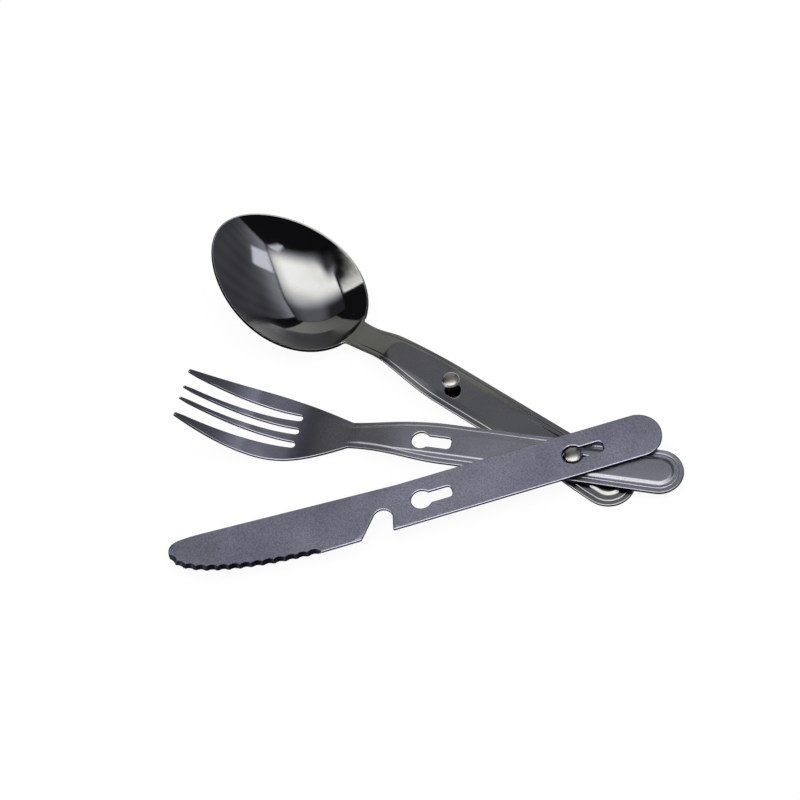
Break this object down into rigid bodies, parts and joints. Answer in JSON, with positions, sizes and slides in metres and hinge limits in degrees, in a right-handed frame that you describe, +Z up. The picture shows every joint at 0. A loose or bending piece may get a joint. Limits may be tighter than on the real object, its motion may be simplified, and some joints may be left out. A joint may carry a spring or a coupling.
{
  "type": "picnic cutlery set",
  "caption": "Pressed steel picnic cutlery: a spoon with headed studs, and a fork and a bottle-opener knife that hang on them by keyholes and swing out like a fan.",
  "frame": {"origin": "middle of the footprint, on the table the set lies on", "axes": "+Z up from the table; the spoon points along -X and the fork and knife fan out towards -Y"},
  "size_m": [0.2064, 0.1458, 0.0305],
  "materials": {
    "polished_steel": "polished stainless sheet with fine hairlines",
    "satin_steel": "satin stainless sheet, lightly brushed",
    "stud_steel": "bright turned stud, slightly warm"
  },
  "bodies": {
    "spoon": {"spoon": "polished_steel", "front_stud": "stud_steel", "rear_stud": "stud_steel"},
    "fork": {"fork": "polished_steel"},
    "knife": {"knife": "satin_steel"}
  },
  "joints": [
    {"name": "fork_swivel", "type": "hinge", "parent": "spoon", "child": "fork", "pos_m": [0.06588, 0.04482, 0.00241], "axis": [0.0559, -0.0527, 0.997], "range_deg": [-8.5, 8]},
    {"name": "knife_swivel", "type": "hinge", "parent": "spoon", "child": "knife", "pos_m": [0.06588, 0.04482, 0.00241], "axis": [0.0559, -0.0527, 0.997], "range_deg": [-7.5, 288]}
  ]
}
